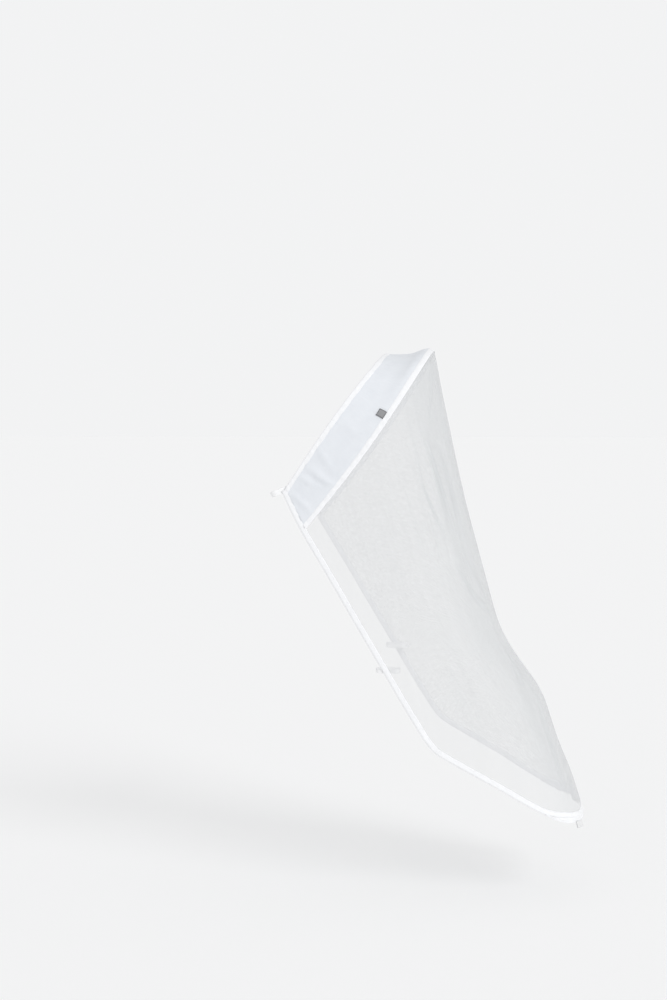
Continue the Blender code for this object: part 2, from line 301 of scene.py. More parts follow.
# Colours of each cloth, from its darkest to its lightest
NET_SHADES = ((0.525, 0.545, 0.558), (0.735, 0.738, 0.744))
BAND_SHADES = ((0.690, 0.712, 0.748), (0.736, 0.758, 0.790))
TAPE_SHADES = ((0.780, 0.786, 0.802), (0.862, 0.867, 0.880))
ELASTIC_SHADES = ((0.850, 0.853, 0.862), (0.900, 0.902, 0.908))
# The tabs' elastic is the loops' elastic painted darker, as painted shade
SHADED_TAB_SHADES = ((0.680, 0.682, 0.688), (0.750, 0.752, 0.757))
THREAD_SHADES = ((0.820, 0.825, 0.835), (0.870, 0.872, 0.880))
LABEL_SHADES = ((0.135, 0.135, 0.140), (0.330, 0.330, 0.340))

# Pitch of the weaves
BAND_PITCH = 0.0007
LABEL_WEFT_PITCH = 0.0006
LABEL_WARP_PITCH = 0.0004

# Ribbed cloths: tape, elastic of the loops, the tabs' elastic painted darker as painted shade, and
# thread
# Columns: name, colours, pitch and depth of the ribs, roughness, whether the ribs run lengthwise
RIBBED = (
    ("white_tape", TAPE_SHADES, 0.0009, 0.0001, 0.65, False),
    ("ribbed_elastic", ELASTIC_SHADES, 0.0012, 0.0001, 0.6, True),
    ("shaded_tab_elastic", SHADED_TAB_SHADES, 0.0012, 0.0001, 0.6, True),
    ("sewing_thread", THREAD_SHADES, 0.0005, 0.00005, 0.5, False),
)

# Stage: pale floor, and a sky with its strength low down and overhead
FLOOR_Z = -0.976
FLOOR_REACH = 30.0
FLOOR_COLOUR = (0.935, 0.935, 0.935, 1.0)
SKY_COLOUR = (0.99, 0.994, 1.0, 1.0)
SKY_LOW = 0.90
SKY_OVERHEAD = 0.69

# Sun: strength, and in degrees its width, its tilt from overhead and its turn
SUN_STRENGTH = 1.2
SUN_WIDTH = 28
SUN_TILT = 62
SUN_TURN = 40

# Camera: place, degrees that it looks down and turns left, lens and sensor in millimetres
CAMERA_AT = (0.1133, -4.3587, -0.0363)
CAMERA_DOWN = 3.09
CAMERA_LEFT = 3.92
LENS = 85.5
SENSOR = 36.0

# Each side, with 1 where it lies at -Y and -1 where it lies at +Y
SIDES = (("right", 1.0), ("left", -1.0))

# Factors that move a point onto the middle plane, or to the other side of it
ON_MIDDLE_PLANE = np.array([1.0, 0.0, 1.0])
MIRROR = np.array([1.0, -1.0, 1.0])

# The outer face of an open sheet turns away from a point this far behind and below its middle
BEHIND = np.array([-0.3, 0.0, -0.1])


def unit(vectors):
    return vectors / np.linalg.norm(vectors, axis=-1, keepdims=True)


def lengths_along(points):
    steps = np.linalg.norm(np.diff(points, axis=0), axis=1)
    return np.concatenate([[0.0], np.cumsum(steps)])


def points_at(at, run, points):
    """Points of a line, or vectors along it, at the given lengths of its run."""
    return np.stack([np.interp(at, run, points[:, axis]) for axis in range(3)], axis=-1)


def along(points, shares):
    """Points at the given shares of a line's length."""
    run = lengths_along(points)
    return points_at(np.asarray(shares) * run[-1], run, points)


def smooth_line(stations, steps=12):
    """A Catmull-Rom curve through the stations."""
    points = np.array(stations, float)
    padded = np.vstack([2 * points[0] - points[1], points, 2 * points[-1] - points[-2]])
    share = np.linspace(0, 1, steps, endpoint=False)[:, None]
    parts = []
    for before, start, end, after in zip(padded, padded[1:], padded[2:], padded[3:]):
        cubic = (
            2 * start
            + (end - before) * share
            + (2 * before - 5 * start + 4 * end - after) * share**2
            + (3 * start - before - 3 * end + after) * share**3
        )
        parts.append(cubic / 2)
    return np.vstack([*parts, points[-1:]])


def mirrored(points):
    return points * MIRROR


def whole_line(half):
    """The right half of a line and its mirror image, as one line from right to left."""
    return np.vstack([half, mirrored(half[-2::-1])])


def ease(share):
    share = np.clip(share, 0, 1)
    return share * share * (3 - 2 * share)


def half_arch(crown, foot, bulge):
    """Right half of an arch, from its foot to the middle of its crown."""
    angle = np.linspace(0, pi / 2, ARCH_STEPS)
    across = np.cos(angle) ** (2 / ARCH_SQUARENESS)
    up = np.sin(angle) ** (2 / ARCH_SQUARENESS)
    leg = crown - foot * ON_MIDDLE_PLANE
    outward = unit(np.array([-leg[2], 0.0, leg[0]]))
    points = foot * ON_MIDDLE_PLANE + up[:, None] * leg
    points += np.sin(pi * up)[:, None] * bulge * outward
    points[:, 1] = foot[1] * across
    return points


def hem_frame(hem, inward):
    """Directions in the cloth, square to the hem, that point away from its edge."""
    tangent = unit(np.gradient(hem, axis=0))
    return unit(inward - (inward * tangent).sum(axis=1)[:, None] * tangent)


def hem_stations(hem, square, shares):
    """Middle of the hem's tape, the way into the cloth and the tape's half width at shares of a line."""
    run = lengths_along(hem)
    at = np.asarray(shares) * run[-1]
    middle = points_at(at, run, hem)
    into = unit(points_at(at, run, square))
    wide = np.clip((middle[:, 0] - FRONT_HEM_FROM_X) / FRONT_HEM_GROWS_OVER, 0.0, 1.0)
    half = (TAPE_WIDTH + (FRONT_HEM_WIDTH - TAPE_WIDTH) * wide) / 2
    return middle, into, half[:, None]


def layout():
    """The lines that the cloth is laid out on, all of the right half, from the rear to the middle."""
    hem = along(smooth_line(HEM), np.linspace(0, 1, HEM_STEPS))
    seam_step = int(np.argmin(np.abs(hem[: HEM_STEPS // 2, 2] - SEAM_FOOT_Z)))
    front_crown = np.array([FRONT_CROWN_X, 0.0, CROWN_LIFT])
    rear_crown = np.array([REAR_CROWN_X, 0.0, CROWN_LIFT - REAR_CROWN_DROP])
    lead = TAPE_WIDTH / 2 + GAP

    # The arches rise from the inner edge of the hem's tape
    up_the_leg = unit(front_crown - hem[seam_step] * ON_MIDDLE_PLANE)
    inward = np.tile(up_the_leg, (len(hem), 1))
    square = hem_frame(hem, inward)
    lean = float((square[seam_step] * up_the_leg).sum())
    front = half_arch(front_crown, hem[seam_step] + up_the_leg * lead / lean, FRONT_BULGE)
    rear = half_arch(rear_crown, hem[0] + up_the_leg * lead / lean, REAR_BULGE)

    # Beyond the seam the cloth leaves the hem towards the arch, and turns that way over a few steps
    shares = lengths_along(hem[seam_step:])
    shares /= shares[-1]
    gathers = np.array(GATHERS)
    arch_side = along(front, np.interp(shares, gathers[:, 0], gathers[:, 1]))
    inward[seam_step:] = unit(arch_side - hem[seam_step:])
    turning_steps = 20
    blend = np.clip(np.arange(len(hem) - seam_step) / turning_steps, 0, 1)[:, None]
    inward[seam_step:] = unit(blend * inward[seam_step:] + (1 - blend) * up_the_leg)
    square = hem_frame(hem, inward)
    return {"hem": hem, "seam_step": seam_step, "square": square, "front": front, "rear": rear}


def fold_shift(points, side, folds):
    """How far the cloth stands out over its folds, each a ridge that fades at both ends."""
    shift = np.zeros(len(points))
    for fold_side, x0, z0, x1, z1, height, width in folds:
        if fold_side != side:
            continue
        run = np.array([x1 - x0, z1 - z0])
        offset = points[:, [0, 2]] - np.array([x0, z0])
        share = offset @ run / (run @ run)
        aside = np.abs(offset[:, 0] * run[1] - offset[:, 1] * run[0]) / np.linalg.norm(run)
        fade = np.sin(pi * np.clip(share, 0, 1))
        shift += height * fade * np.exp(-((aside / width) ** 2))
    return shift


def band_rows(rear, front, reaches):
    """Rows of points across the band. Each reach is an edge, 0 rear or 1 front, and a way from it."""
    width = np.linalg.norm(front - rear, axis=1)
    crown = np.sqrt(np.clip(1 - np.abs(rear[:, 1]) / ARCH_HALF_WIDTH, 0, 1))
    rows = []
    for edge, distance in reaches:
        reach = edge + distance / width
        rise = np.clip((reach - RISE_FROM) / (1 - RISE_FROM), 0, 1) ** 2
        row = rear + (front - rear) * reach[:, None]
        row[:, 2] -= BAND_SAG * crown * np.sin(pi * np.clip(reach, 0, 1))
        row[:, 2] += CROWN_RISE * crown * np.sin(pi * rise)
        rows.append(row)
    return np.array(rows)


def outward_normals(rows, closed=False):
    """Unit normals of a grid of points, turned to its outer face. closed is for a loop."""
    if closed:
        wrapped = np.concatenate([rows[:, -1:], rows, rows[:, :1]], axis=1)
        down_line = np.gradient(wrapped, axis=1)[:, 1:-1]
    else:
        down_line = np.gradient(rows, axis=1)
    normals = unit(np.cross(np.gradient(rows, axis=0), down_line))
    middle = rows.mean(axis=(0, 1))
    away_from = middle if closed else middle * ON_MIDDLE_PLANE + BEHIND
    facing = np.sign((normals * (rows - away_from)).sum())
    return normals * (facing if facing else 1.0)


def signed_volume(mesh):
    """Six times the volume inside a mesh, negative where its faces point inward."""
    mesh.calc_loop_triangles()
    points = np.array([v.co for v in mesh.vertices])
    corners = np.array([t.vertices for t in mesh.loop_triangles])
    first, second, third = points[corners[:, 0]], points[corners[:, 1]], points[corners[:, 2]]
    return float((first * np.cross(second, third)).sum())


def add_piece(name, points, faces, cloth, material):
    """A smooth mesh. cloth holds metres along and across the fabric at each point, and a third value."""
    mesh = bpy.data.meshes.new(name)
    mesh.from_pydata(points.tolist(), [], faces)
    mesh.polygons.foreach_set("use_smooth", [True] * len(mesh.polygons))
    place = mesh.attributes.new("cloth", "FLOAT_VECTOR", "POINT")
    place.data.foreach_set("vector", np.asarray(cloth, np.float32).ravel())
    mesh.materials.append(material)
    mesh.validate()
    piece = bpy.data.objects.new(name, mesh)
    bpy.context.scene.collection.objects.link(piece)
    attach(piece, "root")
    return piece


def add_solid(name, points, faces, cloth, material):
    """The same for a closed mesh, with its faces turned outward."""
    piece = add_piece(name, points, faces, cloth, material)
    if signed_volume(piece.data) < 0:
        piece.data.flip_normals()
    return piece


def grid_faces(rows, columns, closed_rows=False, closed_columns=False):
    faces = []
    for row in range(rows if closed_rows else rows - 1):
        below = (row + 1) % rows
        for column in range(columns if closed_columns else columns - 1):
            after = (column + 1) % columns
            corners = (row, column), (below, column), (below, after), (row, after)
            faces.append([r * columns + c for r, c in corners])
    return faces


def slab(name, rows, thickness, material, closed=False, roundness=3.0, relief=None):
    """A strip of cloth as a thin closed solid with rounded edges. relief adds to its outer face."""
    rows = np.asarray(rows)
    count, columns = rows.shape[:2]
    normals = outward_normals(rows, closed)
    share = np.linspace(-1, 1, count)
    half = thickness / 2 * (1 - np.abs(share) ** roundness) ** (1 / roundness)
    thinnest = thickness * 0.02
    half = np.maximum(half, thinnest)[:, None, None]
    raised = np.zeros((count, columns, 1)) if relief is None else np.asarray(relief)[..., None]
    outer = rows + normals * (half + raised)
    inner = rows - normals * half
    ring = np.concatenate([outer, inner[::-1]])
    across = lengths_along(rows[:, columns // 2])
    cloth = np.zeros((2 * count, columns, 3))
    cloth[..., 0] = lengths_along(rows[count // 2])
    cloth[..., 1] = np.concatenate([across, across[::-1]])[:, None]
    cloth[..., 2] = np.concatenate([share, share[::-1]])[:, None]
    faces = grid_faces(2 * count, columns, closed_rows=True, closed_columns=closed)
    if not closed:
        for column in (0, columns - 1):
            for row in range(count - 1):
                low, high = row, row + 1
                partners = 2 * count - 1 - low, 2 * count - 1 - high
                end = [low, high, partners[1], partners[0]]
                faces.append([r * columns + column for r in (end if column else end[::-1])])
    return add_solid(name, ring.reshape(-1, 3), faces, cloth.reshape(-1, 3), material)


def thread(name, line, normals, material):
    """Small raised stitches along a line, each a short spindle that lies on the cloth."""
    run = lengths_along(line)
    count = int((run[-1] - STITCH_PITCH) / STITCH_PITCH)
    starts = STITCH_PITCH * (0.5 + np.arange(count))
    look_ahead = 1e-4
    spindle = grid_faces(len(STITCH_SHAPE), THREAD_SIDES, closed_columns=True)
    spindle.append(list(range(THREAD_SIDES)))
    last = (len(STITCH_SHAPE) - 1) * THREAD_SIDES
    spindle.append([last + step for step in reversed(range(THREAD_SIDES))])
    points, faces = [], []
    for start in starts:
        faces += [[len(points) + corner for corner in face] for face in spindle]
        for share, girth in STITCH_SHAPE:
            at = start + share * STITCH_LENGTH
            place = points_at(at, run, line)
            out = points_at(at, run, normals)
            forward = unit(points_at(at + look_ahead, run, line) - place)
            aside = np.cross(forward, out)
            for step in range(THREAD_SIDES):
                angle = 2 * pi * step / THREAD_SIDES
                around = aside * cos(angle) + out * sin(angle)
                points.append(place + around * THREAD_RADIUS * girth)
    points = np.array(points)
    return add_solid(name, points, faces, np.zeros_like(points), material)


def tape_stitches(name, rows, thickness, between, material):
    """One run of stitches on the outer face of a tape, along a line between two of its rows."""
    normals = outward_normals(rows)
    low, high, share = between
    line = rows[low] * (1 - share) + rows[high] * share
    out = normals[low] * (1 - share) + normals[high] * share
    return thread(name, line + out * thickness * STITCH_SEAT, out, material)


def link_maths(tree, operation, *values):
    """A Math node on sockets or numbers, and its output."""
    node = tree.nodes.new("ShaderNodeMath")
    node.operation = operation
    for socket, value in zip(node.inputs, values):
        if isinstance(value, (int, float)):
            socket.default_value = value
        else:
            tree.links.new(value, socket)
    return node.outputs[0]


def ranged(tree, value, from_low, from_high, to_low, to_high):
    node = tree.nodes.new("ShaderNodeMapRange")
    for socket, bound in zip(list(node.inputs)[1:5], (from_low, from_high, to_low, to_high)):
        socket.default_value = bound
    tree.links.new(value, node.inputs[0])
    return node.outputs[0]


def fabric(name, roughness, sheen):
    """A material with its cloth coordinates: metres along and across, and the third value."""
    material = bpy.data.materials.new(name)
    material.use_nodes = True
    tree = material.node_tree
    shader = tree.nodes["Principled BSDF"]
    shader.inputs["Roughness"].default_value = roughness
    shader.inputs["Specular IOR Level"].default_value = 0.25
    shader.inputs["Sheen Weight"].default_value = sheen
    shader.inputs["Sheen Roughness"].default_value = 0.6
    source = tree.nodes.new("ShaderNodeAttribute")
    source.attribute_name = "cloth"
    split = tree.nodes.new("ShaderNodeSeparateXYZ")
    tree.links.new(source.outputs["Vector"], split.inputs[0])
    return material, tree, shader, source.outputs["Vector"], split.outputs


def noise(tree, vector, scales, detail):
    """Noise stretched by a scale for each way of the cloth."""
    mapping = tree.nodes.new("ShaderNodeMapping")
    mapping.inputs["Scale"].default_value = scales
    texture = tree.nodes.new("ShaderNodeTexNoise")
    texture.inputs["Scale"].default_value = 1.0
    texture.inputs["Detail"].default_value = detail
    tree.links.new(vector, mapping.inputs["Vector"])
    tree.links.new(mapping.outputs[0], texture.inputs["Vector"])
    return texture.outputs[0]


def wave_along(tree, operation, way, pitch):
    """A sine or cosine of one way of the cloth, with the given pitch."""
    return link_maths(tree, operation, link_maths(tree, "MULTIPLY", way, 2 * pi / pitch))


def tinted(tree, shader, factor, shades):
    """Base colour between two colours by a factor. Sockets 6 and 7 take the colours."""
    mix = tree.nodes.new("ShaderNodeMix")
    mix.data_type = "RGBA"
    for socket, shade in zip((6, 7), shades):
        mix.inputs[socket].default_value = (*shade, 1.0)
    tree.links.new(factor, mix.inputs[0])
    tree.links.new(mix.outputs[2], shader.inputs["Base Color"])


def bumped(tree, shader, wave, distance, strength):
    """Bump from a wave that runs between -1 and 1."""
    bump = tree.nodes.new("ShaderNodeBump")
    bump.inputs["Distance"].default_value = distance
    bump.inputs["Strength"].default_value = strength
    tree.links.new(ranged(tree, wave, -1.0, 1.0, 0.0, 1.0), bump.inputs["Height"])
    tree.links.new(bump.outputs[0], shader.inputs["Normal"])


def net_material():
    """Fine knitted mesh: six-sided holes through white thread, with faint wales, denser and with painted
    shade in its folds.
    """
    material, tree, shader, vector, (run, drop, cover_and_shade) = fabric("net_mesh", roughness=0.85, sheen=0.15)

    # Three waves, a third of a turn apart, add up to the six-sided holes
    row_pitch = MESH_PITCH * ROW_SPACING
    slant = link_maths(tree, "MULTIPLY", drop, 2 * pi / row_pitch * ROW_SPACING)
    level = link_maths(tree, "MULTIPLY", run, 2 * pi / row_pitch * 0.5)
    upright = wave_along(tree, "COSINE", run, row_pitch)
    rising = link_maths(tree, "COSINE", link_maths(tree, "ADD", slant, level))
    falling = link_maths(tree, "COSINE", link_maths(tree, "SUBTRACT", slant, level))
    holes = link_maths(tree, "ADD", link_maths(tree, "ADD", upright, rising), falling)
    threads = ranged(tree, holes, -1.3, 1.2, THREAD_COVER, HOLE_COVER)

    # Faint wales run down the cloth, and its cover is a little uneven
    wales = ranged(tree, noise(tree, vector, (300.0, 4.0, 1.0), 1.0), 0.35, 0.65, 0.95, 1.05)
    uneven = ranged(tree, noise(tree, vector, (14.0, 5.0, 1.0), 2.0), 0.3, 0.7, 0.97, 1.03)
    cover = link_maths(tree, "MULTIPLY", link_maths(tree, "MULTIPLY", threads, wales), uneven)
    tree.links.new(link_maths(tree, "ADD", cover, cover_and_shade), shader.inputs["Alpha"])

    # Painted shade: where the cloth covers more, in its folds and where it faces the front, its colour
    # is also painted a little darker
    shade = ranged(tree, noise(tree, vector, (50.0, 4.0, 1.0), 2.0), 0.3, 0.7, 0.70, 0.82)
    shade = link_maths(tree, "SUBTRACT", shade, link_maths(tree, "MULTIPLY", cover_and_shade, 2.4))
    tinted(tree, shader, shade, NET_SHADES)
    return material


def band_material():
    """Plain weave: threads that cross each other at one pitch, with a faint mottle and slubs."""
    material, tree, shader, vector, (run, across, _) = fabric("band_weave", roughness=0.72, sheen=0.15)
    warp = wave_along(tree, "SINE", run, BAND_PITCH)
    weft = wave_along(tree, "SINE", across, BAND_PITCH)
    mottle = ranged(tree, noise(tree, vector, (45.0, 45.0, 1.0), 4.0), 0.3, 0.7, 0.0, 0.6)
    slubs = ranged(tree, noise(tree, vector, (900.0, 40.0, 1.0), 2.0), 0.3, 0.7, 0.0, 0.4)
    tinted(tree, shader, link_maths(tree, "ADD", mottle, slubs), BAND_SHADES)
    bumped(tree, shader, link_maths(tree, "MULTIPLY", warp, weft), 0.00012, 0.5)
    return material


def ribbed_material(name, shades, pitch, depth, roughness, lengthwise):
    """Woven tape: fine ribs that run along it or across it, with painted shade that darkens the grooves.
    """
    material, tree, shader, vector, (run, across, _) = fabric(name, roughness, sheen=0.2)
    rib = wave_along(tree, "COSINE", across if lengthwise else run, pitch)
    mottle = ranged(tree, noise(tree, vector, (120.0, 120.0, 1.0), 3.0), 0.3, 0.7, -0.25, 0.25)
    # Painted shade: the colour is darker in the grooves between the ribs
    shade = link_maths(tree, "ADD", ranged(tree, rib, -1.0, 1.0, 0.25, 0.85), mottle)
    tinted(tree, shader, shade, shades)
    bumped(tree, shader, rib, depth, 0.6)
    return material


def label_material():
    """Grey woven label, with fine lines of weft and a darker woven edge."""
    material, tree, shader, _, (run, across, _) = fabric("label_weave", roughness=0.75, sheen=0.1)
    weft = wave_along(tree, "SINE", across, LABEL_WEFT_PITCH)
    warp = wave_along(tree, "SINE", run, LABEL_WARP_PITCH)
    from_side = link_maths(tree, "ABSOLUTE", link_maths(tree, "SUBTRACT", run, LABEL_ALONG / 2))
    from_end = link_maths(tree, "ABSOLUTE", link_maths(tree, "SUBTRACT", across, LABEL_ACROSS / 2))
    out = link_maths(tree, "MAXIMUM", from_side, from_end)
    middle = ranged(tree, out, LABEL_ALONG * 0.36, LABEL_ALONG * 0.40, 0.55, 0.0)
    weave = ranged(tree, link_maths(tree, "MULTIPLY", weft, warp), -1.0, 1.0, 0.0, 0.35)
    tinted(tree, shader, link_maths(tree, "ADD", middle, weave), LABEL_SHADES)
    bumped(tree, shader, weft, 0.0001, 0.6)
    return material


def smooth_profile(drop, table):
    """The profile's offset, with its corners rounded by averaging over a short stretch."""
    window = np.linspace(-PROFILE_ROUNDING, PROFILE_ROUNDING, 9)
    return float(np.interp(np.clip(drop + window, 0, 1), table[:, 0], table[:, 1]).mean())


def front_ripples(row, shares, drop, side):
    """Shallow upright ripples of the loose cloth in front, out of step on the two sides."""
    shift = 0.0 if side == "right" else LEFT_SHIFT
    y = row[:, 1]
    ripple = np.zeros(len(y))
    for height, across, down, times in RIPPLES:
        ripple += height * np.sin(y * across + down * drop + times * shift)
    settle = sin(pi * drop) ** 0.7 * ease((shares - 0.45) / 0.3)
    fall = np.zeros_like(row)
    fall[:, 0] = ripple * settle * ease(np.abs(y) / 0.02)
    return fall


def net_grid(lines, side):
    """Fine rows of one half of the net, and how much more the cloth covers at each point, which also
    sets its painted shade.
    """
    shares = np.linspace(0, 1, NET_COLUMNS)
    start = lines["seam_step"]
    middle, into, half = hem_stations(lines["hem"][start:], lines["square"][start:], shares)
    hem_edge = middle + into * (half + GAP)
    gathers = np.array(GATHERS)
    arch_shares = np.interp(shares, gathers[:, 0], gathers[:, 1])
    arch_edge = along(lines["front"], arch_shares)
    tucked = band_rows(along(lines["rear"], arch_shares), arch_edge, [(1, -TUCK)])[0]

    # The first column has no length to speak of, so it takes its way down from the next ones
    down = unit(hem_edge - arch_edge)
    down[:4] = down[4]

    # The net starts clear of the seam's tape, by more towards the middle of the front
    clear = np.interp(shares, (0.0, 0.55, 1.0), (0.0, 0.3, 1.0))
    arch_edge = arch_edge + down * (GAP * clear)[:, None]

    table = np.array(PROFILE)
    in_front = ease((shares - PROFILE_FADE[0]) / (PROFILE_FADE[1] - PROFILE_FADE[0]))
    rows, fold_cover_and_shade = [tucked], [np.zeros(NET_COLUMNS)]
    for drop in np.linspace(0, 1, NET_DROPS):
        row = arch_edge + (hem_edge - arch_edge) * drop
        row[:, 0] += in_front * smooth_profile(drop, table)
        dish = sin(pi * drop) * (1 - in_front) * np.sin(pi * np.clip(shares / SIDE_DISH_ENDS, 0, 1))
        row[:, 1] += SIDE_DISH * dish
        beside = np.clip(-row[:, 1] / FOLDS_FULL_AT_Y, 0, 1)
        broad = fold_shift(row, side, NET_FOLDS)
        fine = fold_shift(row, side, FINE_FOLDS)
        row[:, 1] -= (broad + fine) * beside
        row += front_ripples(row, shares, drop, side)
        rows.append(row)
        folded = (broad * COVER_PER_FOLD + fine * COVER_PER_FINE_FOLD) * beside
        fold_cover_and_shade.append(MOST_FOLD_COVER * np.tanh(folded / MOST_FOLD_COVER))
    rows.append(middle + into * (half - TAPE_WIDTH * 0.5))
    fold_cover_and_shade.append(np.zeros(NET_COLUMNS))
    return np.array(rows), np.array(fold_cover_and_shade)


def net_coordinates(rows, front_line):
    """Metres round the net at one height, and metres down its front, for the knit."""
    depth = -front_line[:, 2]
    ahead = np.interp(-rows[..., 2], depth, front_line[:, 0]) - rows[..., 0]
    down = np.interp(-rows[..., 2], depth, lengths_along(front_line))
    side = np.sign(rows[..., 1])
    return side * (np.abs(rows[..., 1]) + np.abs(ahead)), down


def build_net(lines, material):
    """The net as one open sheet, both halves joined on its middle line."""
    right, right_cover_and_shade = net_grid(lines, "right")
    left, left_cover_and_shade = net_grid(lines, "left")
    rows = np.concatenate([right, mirrored(left)[:, -2::-1]], axis=1)
    cover_and_shade = np.concatenate([right_cover_and_shade, left_cover_and_shade[:, -2::-1]], axis=1)
    middle = rows.shape[1] // 2
    run, down = net_coordinates(rows, rows[1:, middle])
    # Cloth that faces the front covers more, and gets the same painted shade as the folds
    facing_front = ease((np.abs(outward_normals(rows)[..., 0]) - 0.25) / 0.5)
    cover_and_shade = cover_and_shade + FRONT_COVER * facing_front
    cloth = np.stack([run, down, cover_and_shade], axis=-1)
    faces = grid_faces(*rows.shape[:2])
    piece = add_piece("net", rows.reshape(-1, 3), faces, cloth.reshape(-1, 3), material)
    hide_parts("net_panel")
    return piece


def arch_lines(lines, steps):
    """Rear and front edge of the band from hem to hem, each run on a little under the hem's tape."""
    shares = np.linspace(0, 1, steps)
    edges = []
    for name in ("rear", "front"):
        half = along(lines[name], shares)
        foot = half[0] - unit(half[1] - half[0]) * TUCK
        edges.append(whole_line(np.vstack([foot, half])))
    return edges


def shift_band(rows):
    """Creases that stand out from the band's sides, and slight waves over its crown."""
    moved = rows.copy()
    for row in moved:
        for name, sign in SIDES:
            mask = row[:, 1] * sign < 0
            shift = fold_shift(row[mask], name, BAND_CREASES)
            row[mask, 1] -= shift * sign * np.clip(np.abs(row[mask, 1]) / FOLDS_FULL_AT_Y, 0, 1)
        x, y = row[:, 0], row[:, 1]
        over = np.clip(1 - (np.abs(y) / CROWN_WAVES_END_AT_Y) ** 4, 0, 1)
        waves = sum(np.sin(y * across + x * forward + first) for across, forward, first in CROWN_WAVES)
        row[:, 2] += CROWN_WAVE_HEIGHT * over * waves

    # The band swells beside the seam where it leaves the crown
    reach = np.linspace(0, 1, len(moved))[:, None]
    share = np.clip(moved[..., 2] / BESIDE_SEAM_RUNS_TO, 0, 1)
    start = BESIDE_SEAM_STARTS + BESIDE_SEAM_START_GROWS * share
    swell = np.sin(pi * np.clip((reach - start) / (1 - start), 0, 1)) ** 2
    fade = ease(share / 0.3) * ease((1 - share) / 0.7)
    return moved + outward_normals(moved) * (BESIDE_SEAM * swell * fade)[..., None]


def puckers(rows):
    """Slight waves that sewing leaves in a tape, square to its face."""
    run = lengths_along(rows[rows.shape[0] // 2])
    wave = np.zeros(len(run))
    for height, turns, first in PUCKERS:
        wave += height * np.sin(run * turns + first)
    return outward_normals(rows) * wave[None, :, None]


def build_tape(name, rows, thickness, node, between, tape, sewing):
    """A tape with its run of stitches, in place of its node."""
    rows = rows + puckers(rows)
    piece = slab(f"{name}_tape", rows, thickness, tape, roundness=2.6)
    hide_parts(node)
    stitches = tape_stitches(f"{name}_stitches", rows, thickness, between, sewing)
    return [piece, stitches]


def build_band(lines, cloth, tape, sewing):
    """The opaque band over the arch, and the tapes on its two edges."""
    rear, front = arch_lines(lines, BAND_STEPS)
    inset = TAPE_WIDTH - TUCK
    width = np.linalg.norm(front - rear, axis=1)
    shares = np.linspace(0, 1, BAND_ROWS)
    rows = band_rows(rear, front, [(0, inset + (width - 2 * inset) * share) for share in shares])
    loose = np.sin(pi * shares)[:, None, None] ** 0.5
    rows = rows + (shift_band(rows) - rows) * loose
    band = slab("band", rows, BAND_THICKNESS, cloth, roundness=8.0)
    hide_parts("top_band")

    rear, front = arch_lines(lines, TAPE_STEPS)
    pieces = []
    for name, edge, sign in (("rear", 0, 1), ("seam", 1, -1)):
        reaches = [(edge, sign * distance) for distance in np.linspace(0, TAPE_WIDTH, TAPE_ROWS)]
        rows = band_rows(rear, front, reaches)
        pieces += build_tape(name, rows, TAPE_THICKNESS, f"{name}_binding", TAPE_STITCHES, tape, sewing)
    return band, pieces


def hem_lines(lines):
    """Middle, way into the cloth and half width of the hem's tape, beside the band and then the net."""
    hem, square, start = lines["hem"], lines["square"], lines["seam_step"]
    first_shares = np.linspace(0, 1, HEM_STEPS_BESIDE_BAND)[:-1]
    first = hem_stations(hem[: start + 1], square[: start + 1], first_shares)
    second = hem_stations(hem[start:], square[start:], np.linspace(0, 1, HEM_STEPS_BESIDE_NET))
    return [np.vstack(pair) for pair in zip(first, second)]


def build_hem(lines, tape, sewing):
    """Tape along the whole lower edge, and the cloth folded up below it round the front."""
    middle, into, half = hem_lines(lines)
    shares = np.linspace(0, 1, TAPE_ROWS)
    rows = np.array([whole_line(middle + into * (half - TAPE_WIDTH * share)) for share in shares])
    pieces = build_tape("hem", rows, HEM_THICKNESS, "hem_binding", HEM_STITCHES, tape, sewing)

    # The folded edge starts where the hem grows wider than its tape
    wider = (2 * half[:, 0] - TAPE_WIDTH) > FOLD_LEAST
    middle, into, half = middle[wider], into[wider], half[wider]
    drop = 2 * half - TAPE_WIDTH
    rows = []
    for share in np.linspace(0, 1, FOLD_ROWS):
        reach = half - TAPE_WIDTH + FOLD_LAP - (drop + FOLD_LAP) * share
        rows.append(whole_line(middle + into * reach))
    rows = np.array(rows)

    # It waves more towards its lower edge, and has soft ridges along it
    run = lengths_along(rows[FOLD_ROWS // 2])
    share = np.linspace(0, 1, FOLD_ROWS)[:, None]
    wave = FOLD_SHORT_WAVE * np.sin(run * 210 + 2.5 * np.sin(run * 31))
    wave += FOLD_LONG_WAVE * np.sin(run * 95 + 0.7)
    ridges = FOLD_RIDGE * np.sin(share * 4 * pi + 0.8 * np.sin(run * 40))
    shift = wave[None, :] * share**1.2 + ridges - FOLD_SET_BACK
    rows = rows + outward_normals(rows) * shift[..., None]
    fold = slab("front_hem_fold", rows, FOLD_THICKNESS, tape, roundness=2.2)
    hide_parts("hem_binding")
    return [*pieces, fold]


def loop_rows(at, length, depth, width, slope):
    """Rows of a flat tape bent to a closed loop, whose opening runs up and down."""
    back = np.array([-cos(slope), 0.0, -sin(slope)])
    up = np.array([-sin(slope), 0.0, cos(slope)])
    inward = np.array([0.0, 1.0, 0.0])
    angle = np.linspace(0, 2 * pi, LOOP_STEPS, endpoint=False)
    reach = np.abs(np.cos(angle)) ** LOOP_ROUNDNESS * np.sign(np.cos(angle))
    aside = np.abs(np.sin(angle)) ** LOOP_ROUNDNESS * np.sign(np.sin(angle))
    backward = back * ((1 - reach) * length / 2)[:, None]
    sideways = inward * ((1 + aside) * depth / 2)[:, None]
    line = np.array(at) + backward + sideways
    return np.array([line + up * height for height in np.linspace(-width / 2, width / 2, LOOP_ROWS)])


